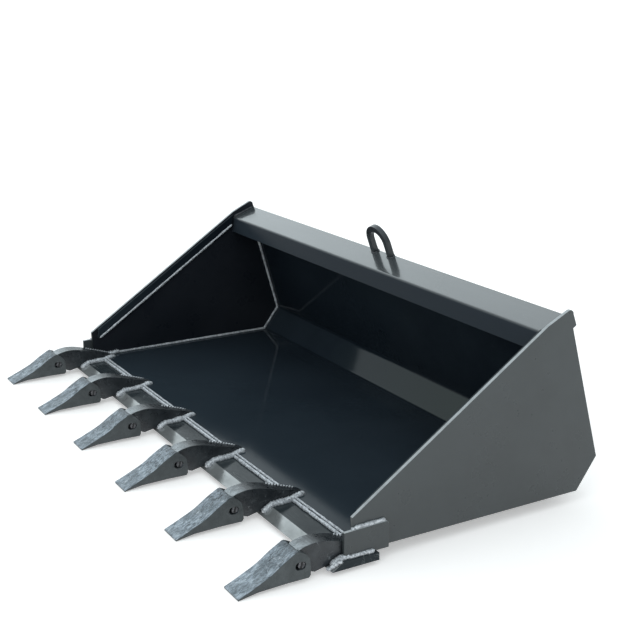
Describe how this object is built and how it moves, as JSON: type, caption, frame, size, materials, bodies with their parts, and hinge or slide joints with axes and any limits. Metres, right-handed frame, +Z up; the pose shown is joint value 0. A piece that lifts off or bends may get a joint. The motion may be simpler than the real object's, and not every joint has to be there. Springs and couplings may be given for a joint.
{
  "type": "skid steer bucket",
  "caption": "Low-profile loader bucket with bent shell, slanted side plates, bevelled cutting edge, pinned digging teeth, lifting loop and rear quick-attach frame.",
  "frame": {"origin": "centre of the cutting edge's underside", "axes": "+X across the bucket, +Y towards the machine, +Z up when the floor lies level"},
  "size_m": [1.524, 0.9605, 0.516],
  "materials": {
    "black_paint": "gloss black enamel with light scuffs",
    "rail_paint": "gloss black enamel, smooth",
    "cast_steel": "bare cast steel, worn and scuffed",
    "pin_steel": "dark pin steel"
  },
  "bodies": {
    "root": {"shell_plate": "black_paint", "side_plate_left": "black_paint", "side_plate_right": "black_paint", "side_bar_left": "black_paint", "side_bar_right": "black_paint", "cutting_edge": "black_paint", "corner_wear_plate_left": "black_paint", "corner_wear_plate_right": "black_paint", "lifting_loop": "black_paint", "attach_plate": "black_paint", "attach_hook_rail": "black_paint", "attach_lock_shelf": "black_paint", "attach_rib_left": "black_paint", "attach_rib_right": "black_paint", "top_rail": "rail_paint", "tooth_1": "cast_steel", "tooth_2": "cast_steel", "tooth_3": "cast_steel", "tooth_4": "cast_steel", "tooth_5": "cast_steel", "tooth_6": "cast_steel", "tooth_adapter_1": "cast_steel", "tooth_adapter_2": "cast_steel", "tooth_adapter_3": "cast_steel", "tooth_adapter_4": "cast_steel", "tooth_adapter_5": "cast_steel", "tooth_adapter_6": "cast_steel"},
    "pin_1": {"tooth_pin_1": "pin_steel"},
    "pin_2": {"tooth_pin_2": "pin_steel"},
    "pin_3": {"tooth_pin_3": "pin_steel"},
    "pin_4": {"tooth_pin_4": "pin_steel"},
    "pin_5": {"tooth_pin_5": "pin_steel"},
    "pin_6": {"tooth_pin_6": "pin_steel"}
  },
  "joints": [
    {"name": "pin_1_slide", "type": "slide", "parent": "root", "child": "pin_1", "axis": [1, 0, 0], "range_m": [0, 0.08]},
    {"name": "pin_2_slide", "type": "slide", "parent": "root", "child": "pin_2", "axis": [1, 0, 0], "range_m": [0, 0.08]},
    {"name": "pin_3_slide", "type": "slide", "parent": "root", "child": "pin_3", "axis": [1, 0, 0], "range_m": [0, 0.08]},
    {"name": "pin_4_slide", "type": "slide", "parent": "root", "child": "pin_4", "axis": [1, 0, 0], "range_m": [0, 0.08]},
    {"name": "pin_5_slide", "type": "slide", "parent": "root", "child": "pin_5", "axis": [1, 0, 0], "range_m": [0, 0.08]},
    {"name": "pin_6_slide", "type": "slide", "parent": "root", "child": "pin_6", "axis": [1, 0, 0], "range_m": [0, 0.08]}
  ]
}
